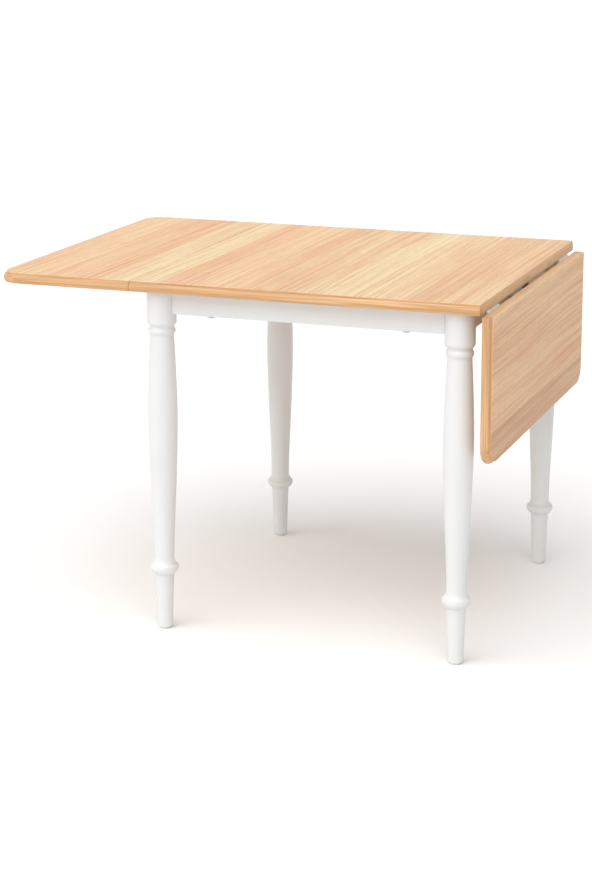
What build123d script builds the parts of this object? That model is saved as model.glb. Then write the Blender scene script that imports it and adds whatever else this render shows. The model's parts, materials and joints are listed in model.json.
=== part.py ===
"""Drop-leaf table: a fixed top on four turned legs, with a hinged leaf at each end.

Millimetres. X runs along the table, Y from front to back and Z up. The origin is on the
floor, midway between the four legs. The left leaf is raised and the right leaf hangs.
Pieces that exist at both ends are made for the right end, raised, and then placed.
"""

import os
from math import sqrt

from build123d import *

# Top and leaves
TABLE_HEIGHT = 750
TABLE_DEPTH = 800
CENTRE_LENGTH = 740
LEAF_LENGTH = 300
TOP_THICKNESS = 22
VENEER = 1
LEAF_GAP = 1
LEAF_CORNER_RADIUS = 45
EDGING_WIDTH = 16
ARRIS_SETBACK = 6.4

# Edge moulding, as distances inwards from the outermost line and up from the underside
MOULDING_FOOT = 3.5
MOULDING_BELLY_HEIGHT = 7.5
MOULDING_SHOULDER = 5.4
MOULDING_SHOULDER_HEIGHT = 17.6

# Legs and rails
LEG_X = 318.2
LEG_Y = 350
LEG_TOP_RADIUS = 30.7
LEG_FLAT = 28
RAIL_HEIGHT = 48.5
RAIL_THICKNESS = 18
RAIL_PROUD = 12.4
RAIL_EASING = 1.2
RAIL_END_EASING = 0.8
GLIDE_HEIGHT = 3
GLIDE_RADIUS = 12.5
NAIL_RADIUS = 1.5
NAIL_LENGTH = 16

# Corner brackets and leg bolts, measured from the leg's axis
BRACKET_THICKNESS = 2.5
BRACKET_HEIGHT = 36
BRACKET_BEND = 48
BRACKET_REACH = 84
BRACKET_SCREW_REACH = 67
BRACKET_SCREW_SPREAD = 10
LEG_BOLT_RADIUS = 4
LEG_BOLT_START = 8
LEG_BOLT_END = 54
BOLT_CLEARANCE = 0.5
NUT_HEIGHT = 6.5
NUT_RADIUS = 7.5
FLANGE_RADIUS = 9
FLANGE_HEIGHT = 1.5

# Bolts that hold the rails to the top
TOP_BOLT_X = 208.5
TOP_BOLT_Y = 200
TOP_BOLT_RADIUS = 3
TOP_BOLT_HEAD_RADIUS = 7.5
TOP_BOLT_HEAD_HEIGHT = 3
TOP_BOLT_BITE = 13

# Leaf hinges
HINGE_DROP = 3.35
HINGE_AXIS_IN_GAP = 1.35
HINGE_Y = 300
HINGE_LENGTH = 75
HINGE_PLATE_WIDTH = 20.35
HINGE_CORNER_RADIUS = 3
HINGE_SCREW_IN = 11.5
HINGE_PLATE_THICKNESS = 2
KNUCKLE_RADIUS = 3.1
KNUCKLE_COUNT = 5
KNUCKLE_PLAY = 2
HINGE_PIN_RADIUS = 1.5
HINGE_PIN_ROUNDING = 0.4
HINGE_SCREW_SPREAD = 27

# Folding leaf supports
SUPPORT_PIVOT_X = 350
SUPPORT_PIVOT_DROP = 16.5
SUPPORT_PLATE_THICKNESS = 3
SUPPORT_PLATE_HALF_WIDTH = 30
SUPPORT_PLATE_LOW = 683
SUPPORT_PLATE_HIGH = 724
SUPPORT_CORNER_RADIUS = 6
SUPPORT_SCREW_Y = 16
SUPPORT_SCREW_LOW = 691
SUPPORT_SCREW_HIGH = 716
EAR_RADIUS = 11.5
ARM_SHEET = 2.5
ARM_HALF_WIDTH = 26
ARM_LENGTH = 250
ARM_WEB_RISE = 13.5
ARM_HEEL_RADIUS = 12
ARM_HEEL_RUN = 30
ARM_TIP_DEPTH = 11
ARM_TIP_RADIUS = 10
ARM_SLOT_LENGTH = 44
ARM_SLOT_WIDTH = 18
SUPPORT_PIN_RADIUS = 4
SUPPORT_PIN_OVERHANG = 3
BUFFER_RADIUS = 9
BUFFER_NECK_RADIUS = 5
BUFFER_INSET = 24
BUFFER_CLEARANCE = 0.3

# Wood screws
SCREW_RADIUS = 1.75
SCREW_HEAD_RADIUS = 3.6
SCREW_HEAD_HEIGHT = 1.9
SCREW_LENGTH = 15
SCREW_SLOT = (4.2, 0.9, 1.2)
RUNNING_FIT = 0.05

# Derived levels and lines
UNDERSIDE = TABLE_HEIGHT - TOP_THICKNESS
RAIL_LOW = UNDERSIDE - RAIL_HEIGHT
RAIL_MIDDLE = UNDERSIDE - RAIL_HEIGHT / 2
CENTRE_END = CENTRE_LENGTH / 2
LEAF_START = CENTRE_END + LEAF_GAP
LEAF_END = LEAF_START + LEAF_LENGTH
HALF_DEPTH = TABLE_DEPTH / 2
HINGE_X = CENTRE_END + HINGE_AXIS_IN_GAP
HINGE_Z = UNDERSIDE - HINGE_DROP
HINGE_AXIS = Axis((HINGE_X, 0, HINGE_Z), (0, 1, 0))
RAIL_OUT_X = LEG_X + RAIL_PROUD
RAIL_OUT_Y = LEG_Y + RAIL_PROUD
RAIL_INNER = RAIL_THICKNESS - RAIL_PROUD
PLATE_LOW = UNDERSIDE - HINGE_PLATE_THICKNESS
FIXED_SCREW_X = HINGE_X - HINGE_SCREW_IN
LEAF_SCREW_X = HINGE_X + HINGE_SCREW_IN
SUPPORT_PIVOT_Z = UNDERSIDE - SUPPORT_PIVOT_DROP
CORNERS = {
    "front_left": (-1, -1),
    "front_right": (1, -1),
    "back_left": (-1, 1),
    "back_right": (1, 1),
}
FACING_DOWN = (180, 0, 0)
FROM_TOP = (Align.CENTER, Align.CENTER, Align.MAX)

os.makedirs("parts", exist_ok=True)


def save(shape, name):
    """Label a finished piece and write it."""
    shape.label = name
    export_step(shape, f"parts/{name}.step")


def on_left(shape):
    """The left end's piece: the right one mirrored, still raised."""
    return shape.mirror(Plane.YZ)


def hanging(shape):
    """The right leaf's piece, turned down about the hinge pins."""
    return shape.rotate(HINGE_AXIS, 90)


def hanging_arm(shape):
    """The right support arm's piece, turned down about its own pivot."""
    return shape.rotate(Axis((SUPPORT_PIVOT_X, 0, SUPPORT_PIVOT_Z), (0, 1, 0)), 90)


def hinge_screw_places(x):
    """One line of hinge screws at x, with their heads facing down."""
    return [
        Location((x, side * HINGE_Y + step * HINGE_SCREW_SPREAD, PLATE_LOW), FACING_DOWN)
        for side in (-1, 1)
        for step in (-1, 0, 1)
    ]


def bracket_screw_places(side, face):
    """A corner bracket's screws: two into the long rail, then two into the end rail."""
    wall = RAIL_INNER + BRACKET_THICKNESS
    points = ((BRACKET_SCREW_REACH, wall, (0, -face, 0)), (wall, BRACKET_SCREW_REACH, (-side, 0, 0)))
    return [
        Plane(
            (side * (LEG_X - inward_x), face * (LEG_Y - inward_y), RAIL_MIDDLE + step),
            z_dir=outward,
        ).location
        for inward_x, inward_y, outward in points
        for step in (-BRACKET_SCREW_SPREAD, BRACKET_SCREW_SPREAD)
    ]


def support_screw_places(side):
    """The four screws of a support's base, with their heads facing outwards."""
    return [
        Plane((side * (RAIL_OUT_X + SUPPORT_PLATE_THICKNESS), y, z), z_dir=(side, 0, 0)).location
        for y in (-SUPPORT_SCREW_Y, SUPPORT_SCREW_Y)
        for z in (SUPPORT_SCREW_LOW, SUPPORT_SCREW_HIGH)
    ]


def add_screws(places):
    """Countersunk wood screws in the current part, each with its head flush at its place."""
    with Locations(*places):
        Cone(
            SCREW_RADIUS,
            SCREW_HEAD_RADIUS,
            SCREW_HEAD_HEIGHT,
            align=FROM_TOP,
        )
        Cylinder(SCREW_RADIUS, SCREW_LENGTH, align=FROM_TOP)
        for turn in (0, 90):
            Box(*SCREW_SLOT, rotation=(0, 0, turn), align=FROM_TOP, mode=Mode.SUBTRACT)


def drill_screw_holes(places):
    """Holes in the current part for screws whose heads are at these places."""
    with Locations(*places):
        Cylinder(
            SCREW_RADIUS,
            SCREW_LENGTH,
            align=FROM_TOP,
            mode=Mode.SUBTRACT,
        )


# ---------------------------------------------------------------- top and leaves

# The edging's section: X outwards from the outermost line, Y up from the underside
with BuildLine() as moulding:
    Polyline(
        (-MOULDING_FOOT, 0),
        (-EDGING_WIDTH, 0),
        (-EDGING_WIDTH, TOP_THICKNESS - VENEER),
        (-ARRIS_SETBACK, TOP_THICKNESS - VENEER),
        (-ARRIS_SETBACK, MOULDING_SHOULDER_HEIGHT),
        (-MOULDING_SHOULDER, MOULDING_SHOULDER_HEIGHT),
    )
    belly = (0, MOULDING_BELLY_HEIGHT)
    TangentArc(belly, (-MOULDING_SHOULDER, MOULDING_SHOULDER_HEIGHT), tangent=(0, 1))
    TangentArc(belly, (-MOULDING_FOOT, 0), tangent=(0, -1))


def leaf_outline(setback):
    """A leaf's plan, set back from its outermost line on the three moulded edges."""
    with BuildLine() as outline:
        FilletPolyline(
            (LEAF_START, -HALF_DEPTH + setback),
            (LEAF_END - setback, -HALF_DEPTH + setback),
            (LEAF_END - setback, HALF_DEPTH - setback),
            (LEAF_START, HALF_DEPTH - setback),
            radius=LEAF_CORNER_RADIUS - setback,
        )
        Line((LEAF_START, HALF_DEPTH - setback), (LEAF_START, -HALF_DEPTH + setback))
    return outline.edges()


TOP_BOLT_POINTS = [
    (side * TOP_BOLT_X, face * (RAIL_OUT_Y - RAIL_THICKNESS / 2))
    for side in (-1, 1)
    for face in (-1, 1)
] + [
    (side * (RAIL_OUT_X - RAIL_THICKNESS / 2), face * TOP_BOLT_Y)
    for side in (-1, 1)
    for face in (-1, 1)
]

with BuildPart() as centre_core:
    with BuildSketch(Plane.XY.offset(UNDERSIDE)):
        Rectangle(CENTRE_LENGTH, TABLE_DEPTH - 2 * EDGING_WIDTH)
    extrude(amount=TOP_THICKNESS - VENEER)
    with BuildSketch(Plane.XY.offset(UNDERSIDE)):
        with Locations(*TOP_BOLT_POINTS):
            Circle(TOP_BOLT_RADIUS)
    extrude(amount=TOP_BOLT_BITE, mode=Mode.SUBTRACT)
    drill_screw_holes(hinge_screw_places(FIXED_SCREW_X) + hinge_screw_places(-FIXED_SCREW_X))
save(centre_core.part, "centre_core")

with BuildPart() as centre_veneer:
    with BuildSketch(Plane.XY.offset(TABLE_HEIGHT - VENEER)):
        Rectangle(CENTRE_LENGTH, TABLE_DEPTH - 2 * ARRIS_SETBACK)
    extrude(amount=VENEER)
save(centre_veneer.part, "centre_veneer")

for name, face in (("centre_front_edging", -1), ("centre_back_edging", 1)):
    section_plane = Plane((0, face * HALF_DEPTH, UNDERSIDE), x_dir=(0, face, 0), z_dir=(face, 0, 0))
    with BuildPart() as centre_edging:
        with BuildSketch(section_plane):
            make_face(moulding.edges())
        extrude(amount=CENTRE_LENGTH / 2, both=True)
    save(centre_edging.part, name)

core_outline = leaf_outline(EDGING_WIDTH)
veneer_outline = leaf_outline(ARRIS_SETBACK)

with BuildPart() as leaf_core:
    with BuildSketch(Plane.XY.offset(UNDERSIDE)):
        make_face(core_outline)
    extrude(amount=TOP_THICKNESS - VENEER)
    drill_screw_holes(hinge_screw_places(LEAF_SCREW_X))

with BuildPart() as leaf_veneer:
    with BuildSketch(Plane.XY.offset(TABLE_HEIGHT - VENEER)):
        make_face(veneer_outline)
    extrude(amount=VENEER)

with BuildPart() as leaf_edging:
    with BuildLine(Plane.XY.offset(UNDERSIDE)) as edge_path:
        FilletPolyline(
            (LEAF_START, -HALF_DEPTH),
            (LEAF_END, -HALF_DEPTH),
            (LEAF_END, HALF_DEPTH),
            (LEAF_START, HALF_DEPTH),
            radius=LEAF_CORNER_RADIUS,
        )
    with BuildSketch(Plane((LEAF_START, -HALF_DEPTH, UNDERSIDE), x_dir=(0, -1, 0), z_dir=(-1, 0, 0))):
        make_face(moulding.edges())
    sweep(path=edge_path.line)

for piece, name in ((leaf_core, "core"), (leaf_veneer, "veneer"), (leaf_edging, "edging")):
    save(on_left(piece.part), f"left_leaf_{name}")
    save(hanging(piece.part), f"right_leaf_{name}")


# ---------------------------------------------------------------- legs and rails

# Half of the leg's turned outline: X is the radius and Y the height
with BuildLine() as leg_outline:
    Line((0, GLIDE_HEIGHT), (13, GLIDE_HEIGHT))
    ThreePointArc((13, GLIDE_HEIGHT), (15.1, 3.9), (16, 6))
    # Tapered foot, then the lower ring: round below, hollow above
    Line((16, 6), (19.8, 120))
    ThreePointArc((19.8, 120), (27.2, 125.5), (29.7, 134.5))
    Line((29.7, 134.5), (29.2, 138))
    TangentArc((20.8, 153), (29.2, 138), tangent=(0, -1))
    # Long swelling shaft
    Spline(
        (20.8, 153),
        (21.1, 180),
        (25.4, 285),
        (29.2, 385),
        (30.7, 450),
        (28.6, 550),
        (25, 631),
        tangents=[(0, 1), (-0.05, 1)],
    )
    # Bead, groove and the round shoulder under the square-ended top
    ThreePointArc((25, 631), (25.4, 634.5), (26.6, 636.5))
    ThreePointArc((26.6, 636.5), (28.3, 642), (26.4, 647.5))
    ThreePointArc((26.4, 647.5), (25.4, 651), (26.6, 654))
    ThreePointArc((26.6, 654), (29.8, 657.5), (LEG_TOP_RADIUS, 664))
    Polyline((LEG_TOP_RADIUS, 664), (LEG_TOP_RADIUS, UNDERSIDE), (0, UNDERSIDE), (0, GLIDE_HEIGHT))

# Half of a nylon glide and its nail
with BuildLine() as glide_outline:
    Line((0, 0), (GLIDE_RADIUS - 1.5, 0))
    ThreePointArc((GLIDE_RADIUS - 1.5, 0), (GLIDE_RADIUS - 0.44, 0.44), (GLIDE_RADIUS, 1.5))
    Polyline(
        (GLIDE_RADIUS, 1.5),
        (GLIDE_RADIUS, GLIDE_HEIGHT),
        (NAIL_RADIUS, GLIDE_HEIGHT),
        (NAIL_RADIUS, GLIDE_HEIGHT + NAIL_LENGTH),
        (0, GLIDE_HEIGHT + NAIL_LENGTH),
        (0, 0),
    )

# A corner bracket's bent strip, with X and Y running inwards from the leg's axis
with BuildLine() as bracket_outline:
    bend = FilletPolyline(
        (BRACKET_REACH, RAIL_INNER),
        (BRACKET_BEND, RAIL_INNER),
        (RAIL_INNER, BRACKET_BEND),
        (RAIL_INNER, BRACKET_REACH),
        radius=3,
    )
    offset(bend, amount=BRACKET_THICKNESS, side=Side.RIGHT)


def inward_planes(reach):
    """The four planes square to the leg bolts, at a distance inwards from each leg's axis."""
    planes = []
    for side, face in CORNERS.values():
        inward = Vector(-side, -face, 0) / sqrt(2)
        planes.append(Plane(Vector(side * LEG_X, face * LEG_Y, RAIL_MIDDLE) + inward * reach, z_dir=inward))
    return planes


for index, (name, (side, face)) in enumerate(CORNERS.items()):
    axis_x, axis_y = side * LEG_X, face * LEG_Y
    turning_axis = Axis((axis_x, axis_y, 0), (0, 0, 1))
    turning_plane = Plane((axis_x, axis_y, 0), x_dir=(1, 0, 0), z_dir=(0, -1, 0))
    bolt_plane = inward_planes(LEG_BOLT_START)[index]

    with BuildPart() as leg:
        with BuildSketch(turning_plane):
            make_face(leg_outline.edges())
        revolve(axis=turning_axis)
        # Flats where the two rails butt
        width = 2 * LEG_TOP_RADIUS
        flats = (
            (axis_x - side * (LEG_FLAT + width / 2), axis_y, RAIL_MIDDLE),
            (axis_x, axis_y - face * (LEG_FLAT + width / 2), RAIL_MIDDLE),
        )
        with Locations(*flats):
            Box(width, width, RAIL_HEIGHT, mode=Mode.SUBTRACT)
        with BuildSketch(bolt_plane):
            Circle(LEG_BOLT_RADIUS)
        extrude(amount=LEG_TOP_RADIUS, mode=Mode.SUBTRACT)
        with BuildSketch(Plane((axis_x, axis_y, GLIDE_HEIGHT))):
            Circle(NAIL_RADIUS)
        extrude(amount=NAIL_LENGTH, mode=Mode.SUBTRACT)
    save(leg.part, f"{name}_leg")

    with BuildPart() as glide:
        with BuildSketch(turning_plane):
            make_face(glide_outline.edges())
        revolve(axis=turning_axis)
    save(glide.part, f"{name}_glide")

    with BuildPart() as bracket:
        leg_axis = Plane((axis_x, axis_y, RAIL_MIDDLE), x_dir=(-side, 0, 0), z_dir=(0, 0, side * face))
        with BuildSketch(leg_axis):
            make_face(bracket_outline.edges())
        extrude(amount=BRACKET_HEIGHT / 2, both=True)
        with BuildSketch(bolt_plane):
            Circle(LEG_BOLT_RADIUS + BOLT_CLEARANCE)
        extrude(amount=LEG_BOLT_END, mode=Mode.SUBTRACT)
        with Locations(*bracket_screw_places(side, face)):
            CounterSinkHole(SCREW_RADIUS + RUNNING_FIT, SCREW_HEAD_RADIUS, depth=BRACKET_THICKNESS)
    save(bracket.part, f"{name}_bracket")

BRACKET_FACE = (BRACKET_BEND + RAIL_INNER) / sqrt(2) + BRACKET_THICKNESS

with BuildPart() as leg_bolts:
    with BuildSketch(*inward_planes(LEG_BOLT_START)):
        Circle(LEG_BOLT_RADIUS)
    extrude(amount=LEG_BOLT_END - LEG_BOLT_START)
save(leg_bolts.part, "leg_bolts")

with BuildPart() as leg_nuts:
    with BuildSketch(*inward_planes(BRACKET_FACE)):
        Circle(FLANGE_RADIUS)
        Circle(LEG_BOLT_RADIUS, mode=Mode.SUBTRACT)
    extrude(amount=FLANGE_HEIGHT)
    with BuildSketch(*inward_planes(BRACKET_FACE + FLANGE_HEIGHT)):
        RegularPolygon(NUT_RADIUS, 6)
        Circle(LEG_BOLT_RADIUS, mode=Mode.SUBTRACT)
    extrude(amount=NUT_HEIGHT)
save(leg_nuts.part, "leg_nuts")

with BuildPart() as bracket_screws:
    for side, face in CORNERS.values():
        add_screws(bracket_screw_places(side, face))
save(bracket_screws.part, "bracket_screws")

for name, face in (("front_rail", -1), ("back_rail", 1)):
    with BuildPart() as long_rail:
        with Locations((0, face * (RAIL_OUT_Y - RAIL_THICKNESS / 2), RAIL_MIDDLE)):
            Box(2 * (LEG_X - LEG_FLAT), RAIL_THICKNESS, RAIL_HEIGHT)
        chamfer(long_rail.edges().filter_by(Axis.Z), RAIL_END_EASING)
        fillet(long_rail.faces().sort_by(Axis.Z)[0].edges().filter_by(Axis.X), RAIL_EASING)
        with BuildSketch(Plane.XY.offset(RAIL_LOW)):
            middle_y = face * (RAIL_OUT_Y - RAIL_THICKNESS / 2)
            with Locations((-TOP_BOLT_X, middle_y), (TOP_BOLT_X, middle_y)):
                Circle(TOP_BOLT_RADIUS)
        extrude(amount=RAIL_HEIGHT, mode=Mode.SUBTRACT)
        for side in (-1, 1):
            drill_screw_holes(bracket_screw_places(side, face)[:2])
    save(long_rail.part, name)

for name, side in (("left_rail", -1), ("right_rail", 1)):
    with BuildPart() as end_rail:
        with Locations((side * (RAIL_OUT_X - RAIL_THICKNESS / 2), 0, RAIL_MIDDLE)):
            Box(RAIL_THICKNESS, 2 * (LEG_Y - LEG_FLAT), RAIL_HEIGHT)
        chamfer(end_rail.edges().filter_by(Axis.Z), RAIL_END_EASING)
        fillet(end_rail.faces().sort_by(Axis.Z)[0].edges().filter_by(Axis.Y), RAIL_EASING)
        with BuildSketch(Plane.XY.offset(RAIL_LOW)):
            middle_x = side * (RAIL_OUT_X - RAIL_THICKNESS / 2)
            with Locations((middle_x, -TOP_BOLT_Y), (middle_x, TOP_BOLT_Y)):
                Circle(TOP_BOLT_RADIUS)
        extrude(amount=RAIL_HEIGHT, mode=Mode.SUBTRACT)
        for face in (-1, 1):
            drill_screw_holes(bracket_screw_places(side, face)[2:])
        drill_screw_holes(support_screw_places(side))
    save(end_rail.part, name)

with BuildPart() as top_bolts:
    with BuildSketch(Plane.XY.offset(RAIL_LOW)):
        with Locations(*TOP_BOLT_POINTS):
            RegularPolygon(TOP_BOLT_HEAD_RADIUS, 6)
    extrude(amount=-TOP_BOLT_HEAD_HEIGHT)
    with BuildSketch(Plane.XY.offset(RAIL_LOW)):
        with Locations(*TOP_BOLT_POINTS):
            Circle(TOP_BOLT_RADIUS)
    extrude(amount=RAIL_HEIGHT + TOP_BOLT_BITE)
save(top_bolts.part, "top_bolts")


# ---------------------------------------------------------------- leaf hinges


def hinge_plate(y, knuckles, facing):
    """Half a hinge: facing -1 is the fixed plate, on the table's side of the pin, and 1 the leaf's."""
    pitch = HINGE_LENGTH / KNUCKLE_COUNT
    middles = [y + (index - (KNUCKLE_COUNT - 1) / 2) * pitch for index in range(KNUCKLE_COUNT)]
    plate_middle = HINGE_X + facing * (HINGE_AXIS_IN_GAP + HINGE_PLATE_WIDTH) / 2
    screw_x = HINGE_X + facing * HINGE_SCREW_IN
    screw_rows = (y - HINGE_SCREW_SPREAD, y, y + HINGE_SCREW_SPREAD)
    screw_places = [Location((screw_x, row, PLATE_LOW), FACING_DOWN) for row in screw_rows]
    notches = [(HINGE_X, middle) for index, middle in enumerate(middles) if index not in knuckles]
    with BuildPart() as plate:
        with BuildSketch(Plane.XY.offset(PLATE_LOW)):
            with Locations((plate_middle, y)):
                Rectangle(HINGE_PLATE_WIDTH - HINGE_AXIS_IN_GAP, HINGE_LENGTH)
            with Locations(*notches):
                Rectangle(2 * (KNUCKLE_RADIUS + KNUCKLE_PLAY), pitch + KNUCKLE_PLAY, mode=Mode.SUBTRACT)
        extrude(amount=HINGE_PLATE_THICKNESS)
        far_corners = plate.edges().filter_by(Axis.Z).group_by(Axis.X)[0 if facing < 0 else -1]
        fillet(far_corners, HINGE_CORNER_RADIUS)
        with Locations(*screw_places):
            CounterSinkHole(SCREW_RADIUS + RUNNING_FIT, SCREW_HEAD_RADIUS, depth=HINGE_PLATE_THICKNESS)
        for index in knuckles:
            with BuildSketch(Plane((HINGE_X, middles[index], HINGE_Z), x_dir=(1, 0, 0), z_dir=(0, -1, 0))):
                Circle(KNUCKLE_RADIUS)
            extrude(amount=(pitch - KNUCKLE_PLAY) / 2, both=True)
        bore = HINGE_PIN_RADIUS if facing < 0 else HINGE_PIN_RADIUS + RUNNING_FIT
        with BuildSketch(Plane((HINGE_X, y, HINGE_Z), x_dir=(1, 0, 0), z_dir=(0, -1, 0))):
            Circle(bore)
        extrude(amount=HINGE_LENGTH, both=True, mode=Mode.SUBTRACT)
    return plate.part


for name, y in (("front", -HINGE_Y), ("back", HINGE_Y)):
    fixed_plate = hinge_plate(y, range(0, KNUCKLE_COUNT, 2), -1)
    leaf_plate = hinge_plate(y, range(1, KNUCKLE_COUNT, 2), 1)
    with BuildPart() as hinge_pin:
        with BuildSketch(Plane((HINGE_X, y, HINGE_Z), x_dir=(1, 0, 0), z_dir=(0, -1, 0))):
            Circle(HINGE_PIN_RADIUS)
        extrude(amount=HINGE_LENGTH / 2, both=True)
        fillet(hinge_pin.edges().filter_by(GeomType.CIRCLE), HINGE_PIN_ROUNDING)
    save(on_left(fixed_plate), f"left_{name}_hinge_top_plate")
    save(on_left(leaf_plate), f"left_{name}_hinge_leaf_plate")
    save(on_left(hinge_pin.part), f"left_{name}_hinge_pin")
    save(fixed_plate, f"right_{name}_hinge_top_plate")
    save(hanging(leaf_plate), f"right_{name}_hinge_leaf_plate")
    save(hinge_pin.part, f"right_{name}_hinge_pin")

with BuildPart() as top_hinge_screws:
    for side in (-1, 1):
        add_screws(hinge_screw_places(side * FIXED_SCREW_X))
save(top_hinge_screws.part, "top_hinge_screws")

with BuildPart() as leaf_hinge_screws:
    add_screws(hinge_screw_places(LEAF_SCREW_X))
save(on_left(leaf_hinge_screws.part), "left_leaf_hinge_screws")
save(hanging(leaf_hinge_screws.part), "right_leaf_hinge_screws")


# ---------------------------------------------------------------- leaf supports

ears_plane = Plane((SUPPORT_PIVOT_X, 0, SUPPORT_PIVOT_Z), x_dir=(1, 0, 0), z_dir=(0, -1, 0))
ear_reach = SUPPORT_PIVOT_X - RAIL_OUT_X
ear_middle = SUPPORT_PLATE_HALF_WIDTH - SUPPORT_PLATE_THICKNESS / 2
flange_middle = ARM_HALF_WIDTH - ARM_SHEET / 2

with BuildPart() as support_base:
    plate_place = (
        RAIL_OUT_X + SUPPORT_PLATE_THICKNESS / 2,
        0,
        (SUPPORT_PLATE_LOW + SUPPORT_PLATE_HIGH) / 2,
    )
    with Locations(plate_place):
        Box(SUPPORT_PLATE_THICKNESS, 2 * SUPPORT_PLATE_HALF_WIDTH, SUPPORT_PLATE_HIGH - SUPPORT_PLATE_LOW)
    fillet(support_base.edges().filter_by(Axis.X).group_by(Axis.Z)[0], SUPPORT_CORNER_RADIUS)
    # Two ears that carry the pivot
    for face in (-1, 1):
        with BuildSketch(ears_plane.offset(face * ear_middle)):
            with Locations((-ear_reach / 2, 0)):
                Rectangle(ear_reach, 2 * EAR_RADIUS)
            Circle(EAR_RADIUS)
            Circle(SUPPORT_PIN_RADIUS, mode=Mode.SUBTRACT)
        extrude(amount=SUPPORT_PLATE_THICKNESS / 2, both=True)
    with Locations(*support_screw_places(1)):
        CounterSinkHole(SCREW_RADIUS + RUNNING_FIT, SCREW_HEAD_RADIUS, depth=SUPPORT_PLATE_THICKNESS)

with BuildPart() as support_arm:
    web_low = ARM_WEB_RISE - ARM_SHEET
    with BuildSketch(Plane.XY.offset(SUPPORT_PIVOT_Z + web_low)):
        with Locations((SUPPORT_PIVOT_X + ARM_LENGTH / 2, 0)):
            Rectangle(ARM_LENGTH, 2 * ARM_HALF_WIDTH)
        with Locations(*[(SUPPORT_PIVOT_X + ARM_LENGTH * part, 0) for part in (0.2, 0.45, 0.7)]):
            SlotOverall(ARM_SLOT_LENGTH, ARM_SLOT_WIDTH, mode=Mode.SUBTRACT)
        with Locations((SUPPORT_PIVOT_X + ARM_LENGTH - BUFFER_INSET, 0)):
            Circle(BUFFER_NECK_RADIUS, mode=Mode.SUBTRACT)
    extrude(amount=ARM_SHEET)
    fillet(support_arm.edges().filter_by(Axis.Z).group_by(Axis.X)[-1], ARM_TIP_RADIUS)
    # Two flanges that hang from the web and turn on the pivot
    for face in (-1, 1):
        with BuildSketch(ears_plane.offset(face * flange_middle)):
            with BuildLine():
                Polyline(
                    (0, ARM_WEB_RISE),
                    (ARM_LENGTH - ARM_TIP_RADIUS, ARM_WEB_RISE),
                    (ARM_LENGTH - ARM_TIP_RADIUS, ARM_WEB_RISE - ARM_TIP_DEPTH),
                    (ARM_HEEL_RUN, -ARM_HEEL_RADIUS),
                    (0, -ARM_HEEL_RADIUS),
                    close=True,
                )
            make_face()
            Circle(ARM_HEEL_RADIUS)
            Circle(SUPPORT_PIN_RADIUS + RUNNING_FIT, mode=Mode.SUBTRACT)
        extrude(amount=ARM_SHEET / 2, both=True)

with BuildPart() as support_pin:
    with BuildSketch(ears_plane):
        Circle(SUPPORT_PIN_RADIUS)
    extrude(amount=SUPPORT_PLATE_HALF_WIDTH + SUPPORT_PIN_OVERHANG, both=True)
    with BuildSketch(ears_plane.offset(SUPPORT_PLATE_HALF_WIDTH)):
        Circle(SUPPORT_PIN_RADIUS + SUPPORT_PIN_OVERHANG)
    extrude(amount=SUPPORT_PIN_OVERHANG)
    fillet(support_pin.edges().filter_by(GeomType.CIRCLE).sort_by(Axis.Y)[0], 1)
    fillet(support_pin.edges().filter_by(GeomType.CIRCLE).sort_by(Axis.Y)[-1], 1)

with BuildPart() as support_buffer:
    buffer_x = SUPPORT_PIVOT_X + ARM_LENGTH - BUFFER_INSET
    arm_face = SUPPORT_PIVOT_Z + ARM_WEB_RISE
    with BuildSketch(Plane((buffer_x, 0, arm_face))):
        Circle(BUFFER_RADIUS)
    extrude(amount=UNDERSIDE - BUFFER_CLEARANCE - arm_face)
    fillet(support_buffer.edges().filter_by(GeomType.CIRCLE).sort_by(Axis.Z)[-1], 1)
    with BuildSketch(Plane((buffer_x, 0, arm_face - ARM_SHEET))):
        Circle(BUFFER_NECK_RADIUS)
    extrude(amount=ARM_SHEET)
    with BuildSketch(Plane((buffer_x, 0, arm_face - ARM_SHEET))):
        Circle(BUFFER_RADIUS - 2)
    extrude(amount=-ARM_SHEET)

save(on_left(support_base.part), "left_support_base")
save(on_left(support_arm.part), "left_support_arm")
save(on_left(support_pin.part), "left_support_pin")
save(on_left(support_buffer.part), "left_support_buffer")
save(support_base.part, "right_support_base")
save(hanging_arm(support_arm.part), "right_support_arm")
save(support_pin.part, "right_support_pin")
save(hanging_arm(support_buffer.part), "right_support_buffer")

for name, side in (("left", -1), ("right", 1)):
    with BuildPart() as support_screws:
        add_screws(support_screw_places(side))
    save(support_screws.part, f"{name}_support_screws")
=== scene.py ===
"""Looks for the drop-leaf table: light oak veneer in strips, oak mouldings, white-painted legs.

Everything is in metres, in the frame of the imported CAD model: X along the table, Y to the
back and Z up. The left leaf is raised and the right leaf hangs.
"""

import json
from math import pi

import bpy
from mathutils import Euler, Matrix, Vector


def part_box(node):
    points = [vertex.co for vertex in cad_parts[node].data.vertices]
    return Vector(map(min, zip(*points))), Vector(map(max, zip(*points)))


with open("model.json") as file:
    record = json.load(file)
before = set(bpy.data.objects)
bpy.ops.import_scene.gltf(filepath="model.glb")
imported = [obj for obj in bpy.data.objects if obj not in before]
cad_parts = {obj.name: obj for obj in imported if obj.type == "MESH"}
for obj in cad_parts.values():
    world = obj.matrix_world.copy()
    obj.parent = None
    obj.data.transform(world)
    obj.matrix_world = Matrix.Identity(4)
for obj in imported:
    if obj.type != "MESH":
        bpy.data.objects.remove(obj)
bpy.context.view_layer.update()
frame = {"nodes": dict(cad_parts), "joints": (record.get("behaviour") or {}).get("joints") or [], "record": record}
joints = {joint["name"]: joint for joint in frame["joints"]}

# Camera: in front of the table, a little to its right and above the top
CAMERA_POSITION = (1.459, -4.4387, 1.5816)
CAMERA_YAW = 0.3480
CAMERA_PITCH = 0.1994
CAMERA_LENS = 89.46
CAMERA_SHIFT_Y = -0.15

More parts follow.
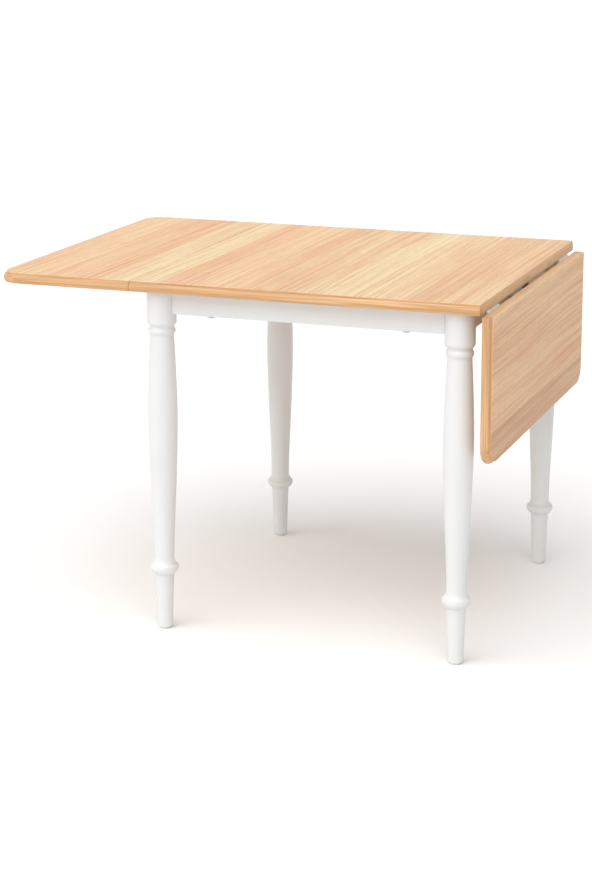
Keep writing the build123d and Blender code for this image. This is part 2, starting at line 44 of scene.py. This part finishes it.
# Light: a white room, brighter by this much along each axis, and a soft key from a direction
ROOM_LIGHT = 0.64
ROOM_LEAN = (-0.14, -0.12, 0.0)
KEY_FROM = (-0.15, -0.70, 1.1)
KEY_SPREAD = 1.2
KEY_STRENGTH = 2.00

# Where a board's pattern is measured: as though both leaves were raised
HINGE_X, _, HINGE_Z = joints["right_leaf_hinge"]["pos_m"]
LEAF_LOW, LEAF_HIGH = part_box("left_leaf_edging")
TABLE_END = -LEAF_LOW.x
HALF_DEPTH = LEAF_HIGH.y
STRIP_REACH = TABLE_END + 0.01

# Veneer strips, from the left end to the right one: where each starts, its tone, and where the
# light heart of the cut lies across the board
PINK = (0.845, 0.527, 0.314)
CREAM = (0.870, 0.650, 0.402)
TAN = (0.838, 0.560, 0.333)
PALE = (0.850, 0.596, 0.364)
ROSE = (0.798, 0.482, 0.289)
HONEY = (0.770, 0.462, 0.258)
AMBER = (0.655, 0.380, 0.208)
STRIPS = (
    (-0.680, PINK, -0.575),
    (-0.437, CREAM, -0.990),
    (-0.305, PINK, -0.172),
    (-0.105, TAN, 0.990),
    (0.012, PALE, 0.110),
    (0.220, ROSE, 0.345),
    (0.3705, HONEY, 0.990),
    (0.596, AMBER, 0.990),
)
# What the figure does to a strip's tone
OAK_DARK = (0.985, 0.935, 0.91)
OAK_LIGHT = (1.05, 1.17, 1.17)
OAK_PALE_LINE = (1.05, 1.09, 1.11)
OAK_LINE = (0.89, 0.78, 0.71)
OAK_PORE = (0.42, 0.26, 0.14)


class Shader:
    """A material built from nodes, one short call for each."""

    def __init__(self, name):
        self.material = bpy.data.materials.new(name)
        self.material.use_nodes = True
        self.tree = self.material.node_tree
        self.tree.nodes.clear()

    def node(self, kind, **settings):
        node = self.tree.nodes.new(kind)
        for key, value in settings.items():
            setattr(node, key, value)
        return node

    def feed(self, socket, value):
        """Link a socket, or set a plain value."""
        if isinstance(value, bpy.types.NodeSocket):
            self.tree.links.new(value, socket)
        else:
            socket.default_value = value

    def math(self, operation, *values):
        node = self.node("ShaderNodeMath", operation=operation)
        for socket, value in zip(node.inputs, values):
            self.feed(socket, value)
        return node.outputs[0]

    def tint(self, colour, factors):
        """A colour with each channel multiplied by a factor."""
        return self.mix(1.0, colour, factors, "MULTIPLY")

    def stretched(self, place, scales):
        """A place with each axis multiplied by its own scale."""
        return self.vector(*(self.math("MULTIPLY", axis, scale) for axis, scale in zip(place, scales)))

    def vector(self, x, y, z):
        node = self.node("ShaderNodeCombineXYZ")
        for socket, value in zip(node.inputs, (x, y, z)):
            self.feed(socket, value)
        return node.outputs[0]

    def place(self):
        """The point's X, Y and Z in the table's frame."""
        coordinates = self.node("ShaderNodeTexCoord")
        split = self.node("ShaderNodeSeparateXYZ")
        self.feed(split.inputs[0], coordinates.outputs["Object"])
        return split.outputs[0], split.outputs[1], split.outputs[2]

    def noise(self, vector, scale=1.0, detail=2.0, roughness=0.5):
        node = self.node("ShaderNodeTexNoise")
        self.feed(node.inputs["Vector"], vector)
        node.inputs["Scale"].default_value = scale
        node.inputs["Detail"].default_value = detail
        node.inputs["Roughness"].default_value = roughness
        return node.outputs["Fac"]

    def remap(self, value, low, high, to_low=0.0, to_high=1.0):
        node = self.node("ShaderNodeMapRange", clamp=True)
        for socket, number in zip(node.inputs, (value, low, high, to_low, to_high)):
            self.feed(socket, number)
        return node.outputs[0]

    def steps(self, value, stops):
        """A colour that changes at once at each stop."""
        node = self.node("ShaderNodeValToRGB")
        node.color_ramp.interpolation = "CONSTANT"
        elements = node.color_ramp.elements
        while len(elements) < len(stops):
            elements.new(1.0)
        for element, (position, colour) in zip(elements, stops):
            element.position = position
            element.color = (*colour, 1.0)
        self.feed(node.inputs[0], value)
        return node.outputs[0]

    def mix(self, factor, first, second, blend="MIX"):
        node = self.node("ShaderNodeMix", data_type="RGBA", blend_type=blend)
        self.feed(node.inputs["Factor"], factor)
        for socket, value in ((node.inputs[6], first), (node.inputs[7], second)):
            self.feed(socket, value if isinstance(value, bpy.types.NodeSocket) else (*value, 1.0))
        return node.outputs[2]

    def finish(self, colour, roughness, height=None, depth=0.0, **sockets):
        """The surface shader, with its bump if a height is given."""
        surface = self.node("ShaderNodeBsdfPrincipled")
        self.feed(surface.inputs["Base Color"], colour)
        self.feed(surface.inputs["Roughness"], roughness)
        for name, value in sockets.items():
            surface.inputs[name.replace("_", " ")].default_value = value
        if height is not None:
            bump = self.node("ShaderNodeBump")
            bump.inputs["Distance"].default_value = depth
            self.feed(bump.inputs["Height"], height)
            self.feed(surface.inputs["Normal"], bump.outputs[0])
        output = self.node("ShaderNodeOutputMaterial")
        self.feed(output.inputs["Surface"], surface.outputs[0])
        return self.material


def board_place(shader, hanging):
    """Across the strips, along the grain, and into the board, as though the leaf were raised."""
    x, y, z = shader.place()
    if not hanging:
        return x, y, z
    return shader.math("SUBTRACT", HINGE_X + HINGE_Z, z), y, shader.math("ADD", x, HINGE_Z - HINGE_X)


def grain_noise(shader, across, along, inwards, per_metre, stretch, seed, detail=2.0, roughness=0.5):
    """Noise drawn out along the grain: so many cells per metre across it, and fewer along it."""
    place = shader.vector(
        shader.math("MULTIPLY_ADD", across, per_metre, seed),
        shader.math("MULTIPLY", along, per_metre / stretch),
        shader.math("MULTIPLY", inwards, per_metre),
    )
    return shader.noise(place, 1.0, detail, roughness)


def oak_figure(shader, across, along, inwards, heart, seed):
    """Light figure, dark growth lines and pores, each from 0 to 1, for a board with its own heart."""
    sway = grain_noise(shader, across, along, inwards, 4.0, 2.5, seed)
    across = shader.math("MULTIPLY_ADD", sway, 0.022, across)
    patches = grain_noise(shader, across, along, inwards, 30.0, 11.0, seed, 3.0, 0.6)
    from_heart = shader.math("ABSOLUTE", shader.math("SUBTRACT", across, heart))
    near = shader.remap(from_heart, 0.008, 0.070, 0.22, 0.0)
    light = shader.remap(shader.math("ADD", patches, near), 0.38, 0.70)
    bands = grain_noise(shader, across, along, inwards, 100.0, 110.0, seed, 4.0, 0.65)
    lines = grain_noise(shader, across, along, inwards, 420.0, 260.0, seed, 2.0, 0.5)
    veins = grain_noise(shader, across, along, inwards, 150.0, 120.0, seed, 1.0, 0.5)
    growth = shader.math("MULTIPLY_ADD", lines, 0.55, shader.math("MULTIPLY", bands, 0.45))
    growth = shader.math("ADD", growth, shader.remap(veins, 0.60, 0.70, 0.0, 0.06))
    pores = grain_noise(shader, across, along, inwards, 1000.0, 40.0, seed, 2.0)
    return light, shader.remap(growth, 0.44, 0.60), shader.remap(pores, 0.50, 0.64)


def oak_veneer(hanging):
    """Strips of light oak, each with its own tone and its own cut through the tree."""
    shader = Shader("oak_veneer_hanging" if hanging else "oak_veneer")
    across, along, inwards = board_place(shader, hanging)
    position = shader.remap(across, -STRIP_REACH, STRIP_REACH)
    starts = [(start + STRIP_REACH) / (2 * STRIP_REACH) for start, _, _ in STRIPS]
    tone = shader.steps(position, [(start, strip[1]) for start, strip in zip(starts, STRIPS)])
    # The heart's place and the strip's number ride through a ramp, scaled into 0 to 1
    cuts = [(heart / 2 + 0.5, index / 10, 0) for index, (_, _, heart) in enumerate(STRIPS)]
    cut = shader.steps(position, list(zip(starts, cuts)))
    split = shader.node("ShaderNodeSeparateColor")
    shader.feed(split.inputs[0], cut)
    heart = shader.math("MULTIPLY_ADD", split.outputs[0], 2.0, -1.0)
    seed = shader.math("MULTIPLY", split.outputs[1], 170.0)
    light, growth, pores = oak_figure(shader, across, along, inwards, heart, seed)
    colour = shader.mix(light, shader.tint(tone, OAK_DARK), shader.tint(tone, OAK_LIGHT))
    colour = shader.mix(growth, shader.tint(colour, OAK_PALE_LINE), shader.tint(colour, OAK_LINE))
    colour = shader.mix(shader.math("MULTIPLY", pores, 0.26), colour, OAK_PORE)
    roughness = shader.remap(growth, 0.0, 1.0, 0.44, 0.52)
    height = shader.math("MULTIPLY_ADD", pores, -1.0, shader.math("MULTIPLY", growth, 0.3))
    return shader.finish(colour, roughness, height, 0.00012, Specular_IOR_Level=0.35)


def oak_edging(name, hanging):
    """Solid oak moulding with its grain along each edge, mitred at a leaf's corners."""
    shader = Shader(name)
    across, along, inwards = board_place(shader, hanging)
    to_end = shader.math("SUBTRACT", TABLE_END, shader.math("ABSOLUTE", across))
    to_side = shader.math("SUBTRACT", HALF_DEPTH, shader.math("ABSOLUTE", along))
    on_end = shader.math("LESS_THAN", to_end, to_side)
    stretch_x = shader.math("MULTIPLY_ADD", on_end, 400.0, 6.0)
    stretch_y = shader.math("MULTIPLY_ADD", on_end, -400.0, 406.0)
    grain = shader.noise(shader.stretched((across, along, inwards), (stretch_x, stretch_y, 400.0)), 1.0, 3)
    broad_x = shader.math("MULTIPLY_ADD", on_end, 60.0, 3.0)
    broad_y = shader.math("MULTIPLY_ADD", on_end, -60.0, 63.0)
    broad = shader.noise(shader.stretched((across, along, inwards), (broad_x, broad_y, 110.0)))
    colour = shader.mix(shader.remap(grain, 0.38, 0.62), (0.76, 0.47, 0.245), (0.53, 0.285, 0.125))
    colour = shader.mix(shader.remap(broad, 0.42, 0.60, 0.0, 0.55), colour, (0.54, 0.30, 0.135))
    roughness = shader.remap(grain, 0.3, 0.7, 0.40, 0.52)
    return shader.finish(colour, roughness, grain, 0.0001, Specular_IOR_Level=0.4)


def oak_board(hanging):
    """The boards' plain underside and square hinge edges."""
    shader = Shader("oak_board_hanging" if hanging else "oak_board")
    across, along, inwards = board_place(shader, hanging)
    light, growth, pores = oak_figure(shader, across, along, inwards, 0.9, 3.0)
    colour = shader.mix(light, (0.76, 0.49, 0.285), (0.84, 0.58, 0.355))
    colour = shader.mix(shader.math("MULTIPLY", growth, 0.45), colour, (0.60, 0.37, 0.20))
    colour = shader.mix(shader.math("MULTIPLY", pores, 0.26), colour, (0.36, 0.22, 0.12))
    return shader.finish(colour, 0.55, growth, 0.0001, Specular_IOR_Level=0.35)


def white_paint():
    """Satin paint over turned wood: a faint orange-peel, and softer where it pooled."""
    shader = Shader("white_paint")
    x, y, z = shader.place()
    here = shader.vector(x, y, z)
    peel = shader.noise(here, 900.0, 2)
    brush = shader.noise(shader.stretched((x, y, z), (160.0, 160.0, 9.0)), 1.0, 2)
    cloud = shader.noise(here, 9.0, 3)
    colour = shader.mix(shader.remap(cloud, 0.35, 0.65), (0.725, 0.729, 0.719), (0.745, 0.749, 0.739))
    height = shader.math("MULTIPLY_ADD", peel, 0.4, brush)
    roughness = shader.remap(cloud, 0.3, 0.7, 0.34, 0.42)
    return shader.finish(colour, roughness, height, 0.00006, Specular_IOR_Level=0.5)


def metal(name, colour, dull, grit, mirror=1.0):
    """Zinc plate: crystalline patches and fine scratches, paler where it mirrors less."""
    shader = Shader(name)
    x, y, z = shader.place()
    here = shader.vector(x, y, z)
    patches = shader.noise(here, grit, 3)
    scratches = shader.noise(shader.stretched((x, y, z), (900.0, 90.0, 900.0)))
    tint = shader.mix(shader.remap(patches, 0.35, 0.65), colour, tuple(0.82 * part for part in colour))
    roughness = shader.remap(patches, 0.3, 0.7, dull, dull + 0.16)
    return shader.finish(tint, roughness, scratches, 0.00003, Metallic=mirror)


def nylon():
    shader = Shader("nylon")
    x, y, z = shader.place()
    grain = shader.noise(shader.vector(x, y, z), 1200.0, 2)
    colour = shader.mix(shader.remap(grain, 0.3, 0.7), (0.74, 0.74, 0.71), (0.80, 0.80, 0.78))
    return shader.finish(colour, 0.45, grain, 0.00005, Subsurface_Weight=0.1)


def rubber():
    shader = Shader("rubber")
    x, y, z = shader.place()
    grain = shader.noise(shader.vector(x, y, z), 1500.0, 3)
    colour = shader.mix(shader.remap(grain, 0.3, 0.7), (0.020, 0.020, 0.021), (0.035, 0.035, 0.036))
    return shader.finish(colour, 0.75, grain, 0.0001)


def dress_nodes():
    """Give every CAD node the material of its slot, turned for the leaf that hangs."""
    materials = {
        ("oak_veneer", False): oak_veneer(False),
        ("oak_veneer", True): oak_veneer(True),
        ("oak_edging", False): oak_edging("oak_edging", False),
        ("oak_edging", True): oak_edging("oak_edging_hanging", True),
        ("oak_board", False): oak_board(False),
        ("oak_board", True): oak_board(True),
        "white_paint": white_paint(),
        "hinge_steel": metal("hinge_steel", (0.96, 0.955, 0.935), 0.30, 260.0, 0.45),
        "zinc_steel": metal("zinc_steel", (0.62, 0.63, 0.65), 0.32, 180.0),
        "nylon": nylon(),
        "rubber": rubber(),
    }
    for part in frame["record"]["subparts"]:
        slot = part["material_slot"]
        hanging = part["node"].startswith("right_leaf")
        material = materials.get(slot) or materials[slot, hanging]
        for place in frame["nodes"][part["node"]].material_slots:
            place.material = material


def make_stage():
    """A plain pale floor that runs out of sight."""
    bpy.ops.mesh.primitive_plane_add(size=60)
    floor = bpy.context.object
    floor.name = "floor"
    shader = Shader("floor")
    x, y, z = shader.place()
    cloud = shader.noise(shader.vector(x, y, z), 1.3, 2)
    colour = shader.mix(shader.remap(cloud, 0.3, 0.7), (0.93, 0.93, 0.93), (0.94, 0.94, 0.94))
    floor.data.materials.append(shader.finish(colour, 0.9, Specular_IOR_Level=0.1))


def make_world():
    """A white room, a little brighter towards the front and the left, and white where it is seen."""
    world = bpy.data.worlds.new("studio")
    world.use_nodes = True
    nodes = world.node_tree.nodes
    links = world.node_tree.links
    direction = nodes.new("ShaderNodeTexCoord")
    lean = nodes.new("ShaderNodeVectorMath")
    lean.operation = "DOT_PRODUCT"
    lean.inputs[1].default_value = ROOM_LEAN
    room = nodes.new("ShaderNodeMath")
    room.inputs[1].default_value = ROOM_LIGHT
    path = nodes.new("ShaderNodeLightPath")
    seen = nodes.new("ShaderNodeMath")
    seen.operation = "MAXIMUM"
    links.new(direction.outputs["Generated"], lean.inputs[0])
    links.new(lean.outputs["Value"], room.inputs[0])
    links.new(room.outputs[0], seen.inputs[0])
    links.new(path.outputs["Is Camera Ray"], seen.inputs[1])
    background = nodes["Background"]
    background.inputs["Color"].default_value = (1, 1, 1, 1)
    links.new(seen.outputs[0], background.inputs["Strength"])
    bpy.context.scene.world = world


def make_key():
    """One broad soft light from above the front, as from a large diffuser."""
    light = bpy.data.lights.new("key", "SUN")
    light.angle = KEY_SPREAD
    light.energy = KEY_STRENGTH
    lamp = bpy.data.objects.new("key", light)
    lamp.rotation_euler = (-Vector(KEY_FROM)).to_track_quat("-Z", "Y").to_euler()
    bpy.context.scene.collection.objects.link(lamp)


def make_camera():
    camera = bpy.data.cameras.new("camera")
    camera.lens = CAMERA_LENS
    camera.shift_y = CAMERA_SHIFT_Y
    camera.clip_end = 100
    eye = bpy.data.objects.new("camera", camera)
    eye.location = CAMERA_POSITION
    eye.rotation_euler = Euler((pi / 2 - CAMERA_PITCH, 0, CAMERA_YAW))
    bpy.context.scene.collection.objects.link(eye)
    bpy.context.scene.camera = eye


make_camera()
make_stage()
make_world()
make_key()
dress_nodes()
bpy.context.scene.view_settings.view_transform = "Standard"
